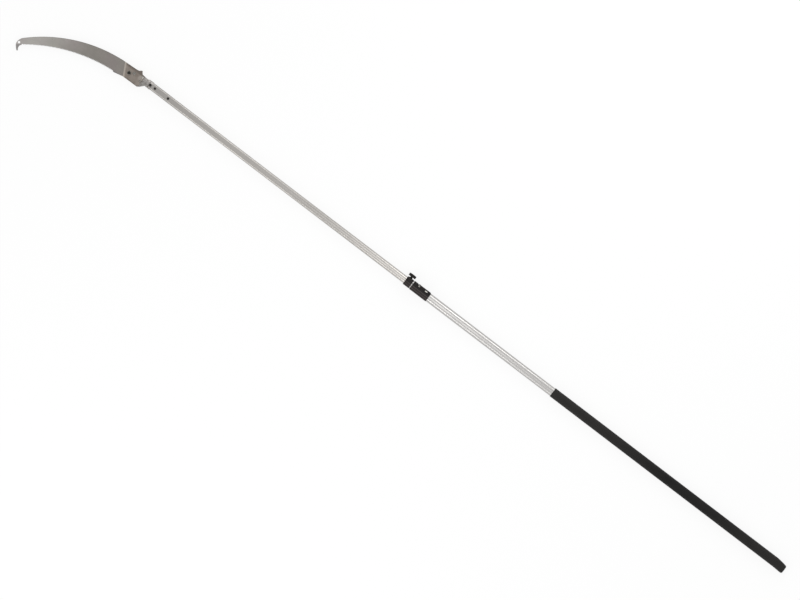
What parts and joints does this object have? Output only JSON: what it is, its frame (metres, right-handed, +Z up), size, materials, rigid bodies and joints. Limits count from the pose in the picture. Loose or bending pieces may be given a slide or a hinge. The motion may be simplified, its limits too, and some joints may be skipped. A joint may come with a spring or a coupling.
{
  "type": "pole saw",
  "caption": "Telescopic pole saw with a curved hooked pruning blade on an oval two-section pole, a lever clamp, a spring lock pin and a long rubber grip.",
  "frame": {"origin": "centre of the whole saw's outline on the surface that it lies on, on its side, with its upper pole drawn out", "axes": "+X along the pole from the butt to the blade, +Y to the toothed side of the blade, +Z up, square to the blade"},
  "size_m": [3.693, 0.2478, 0.0396],
  "materials": {
    "tube_aluminium": "bright anodised, fine lengthwise brushing",
    "upper_aluminium": "plain drawn aluminium, greyer than the handle tube",
    "grip_rubber": "matt black rubber",
    "black_nylon": "satin black glass-filled nylon",
    "grey_nylon": "plain grey nylon",
    "blade_steel": "ground spring steel",
    "holder_steel": "pressed steel, dull plated",
    "cast_aluminium": "as cast, tumbled",
    "zinc_steel": "zinc plated",
    "black_steel": "black oxide"
  },
  "bodies": {
    "handle": {"outer_tube": "tube_aluminium", "grip_sleeve": "grip_rubber", "butt_cap": "grip_rubber", "front_bush": "grey_nylon", "clamp_body": "black_nylon", "clamp_screw_rear": "black_steel", "clamp_screw_front": "black_steel", "lever_pin_near": "zinc_steel", "lever_pin_far": "zinc_steel", "catch_stud_near": "zinc_steel", "catch_stud_far": "zinc_steel", "lock_collar": "black_nylon", "collar_screw_near": "black_steel", "collar_screw_far": "black_steel", "pin_gland": "black_steel", "pin_spring": "zinc_steel"},
    "lever": {"clamp_lever": "black_nylon"},
    "shoe": {"brake_shoe": "grey_nylon"},
    "pin": {"lock_pin": "zinc_steel", "lock_knob": "black_nylon", "knob_screw": "black_steel"},
    "upper_pole": {"inner_tube": "upper_aluminium", "tail_guide": "grey_nylon", "tube_ferrule": "cast_aluminium", "head_core": "cast_aluminium", "tang_bolt_front": "black_steel", "tang_nut_front": "zinc_steel", "tang_bolt_rear": "black_steel", "tang_nut_rear": "zinc_steel", "tang_rivet": "black_steel", "neck_rivet_back": "zinc_steel", "neck_rivet_front": "zinc_steel", "holder_plate_near": "holder_steel", "holder_plate_far": "holder_steel", "saw_blade": "blade_steel", "blade_washer_near": "zinc_steel", "blade_washer_far": "zinc_steel", "blade_bolt": "black_steel", "blade_nut": "zinc_steel", "blade_screw": "zinc_steel", "blade_screw_nut": "zinc_steel"}
  },
  "joints": [
    {"name": "telescope_slide", "type": "slide", "parent": "handle", "child": "upper_pole", "axis": [1, 0, 0], "range_m": [-1.17, 0]},
    {"name": "lever_hinge", "type": "hinge", "parent": "handle", "child": "lever", "pos_m": [-0.0125, -0.10115, 0.0198], "axis": [0, 0, 1], "range_deg": [0, 75]},
    {"name": "shoe_slide", "type": "slide", "parent": "handle", "child": "shoe", "axis": [0, -1, 0], "range_m": [0, 0.0012]},
    {"name": "pin_slide", "type": "slide", "parent": "handle", "child": "pin", "axis": [0, -1, 0], "range_m": [-0.0022, 0.0025], "stiffness_N_per_m": 1000, "springref_m": -0.006, "deforming": ["pin_spring"]}
  ],
  "couplings": [
    {"joint": "shoe_slide", "follows": "lever_hinge", "m_per_rad": 0.000916}
  ]
}
